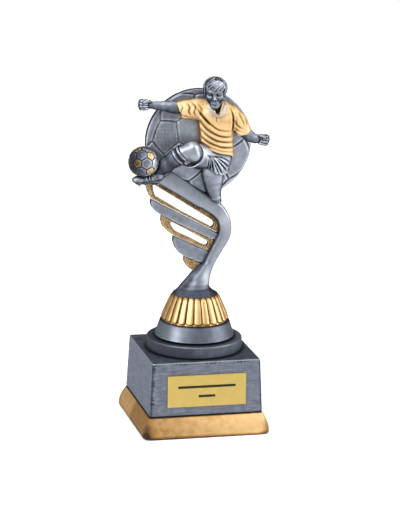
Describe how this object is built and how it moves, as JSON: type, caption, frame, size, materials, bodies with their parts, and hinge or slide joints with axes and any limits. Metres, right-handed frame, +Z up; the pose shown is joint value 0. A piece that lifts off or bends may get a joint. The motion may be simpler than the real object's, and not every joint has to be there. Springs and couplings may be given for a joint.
{
  "type": "figure trophy",
  "caption": "Free-standing football award: a player kicking a ball in front of a round panel, on a curved stem with a slotted wing, a fluted foot and a square base with a name plate.",
  "frame": {"origin": "centre of the felt underside, on the tie rod's axis, where the trophy stands on a shelf", "axes": "+Z up along the trophy's height, -Y out of the front that carries the name plate, +X to the viewer's right from the front"},
  "size_m": [0.0887, 0.0808, 0.222],
  "materials": {
    "antique_silver": "filled cast resin with an antique silver metallic lacquer and dark wash in the hollows",
    "antique_gold": "filled cast resin with an antique gold metallic lacquer and brown wash in the hollows",
    "plate_gold": "gold anodised engraving blank",
    "zinc_steel": "bright zinc plated",
    "felt": "dark self-adhesive felt",
    "tape": "thin double-sided adhesive tape"
  },
  "bodies": {
    "root": {"felt_pad": "felt", "plinth": "antique_gold", "block": "antique_silver", "name_plate": "plate_gold", "plate_tape": "tape", "flange": "antique_silver", "dome_skirt": "antique_silver", "fluted_crown": "antique_gold", "tie_rod": "zinc_steel", "washer": "zinc_steel", "hex_nut": "zinc_steel", "stem": "antique_silver", "upper_frame": "antique_gold", "upper_feather": "antique_silver", "lower_frame": "antique_gold", "lower_feather": "antique_silver", "wing_tip": "antique_gold", "backing_disc": "antique_silver", "match_ball": "antique_silver", "shirt": "antique_gold", "shorts": "antique_silver", "head": "antique_silver", "hair": "antique_silver", "right_collar": "antique_silver", "left_collar": "antique_silver", "right_forearm": "antique_silver", "right_fist": "antique_silver", "left_forearm": "antique_silver", "left_fist": "antique_silver", "kicking_thigh": "antique_silver", "kicking_sock": "antique_silver", "kicking_boot": "antique_silver", "standing_leg": "antique_silver", "standing_sock": "antique_silver"}
  },
  "joints": []
}
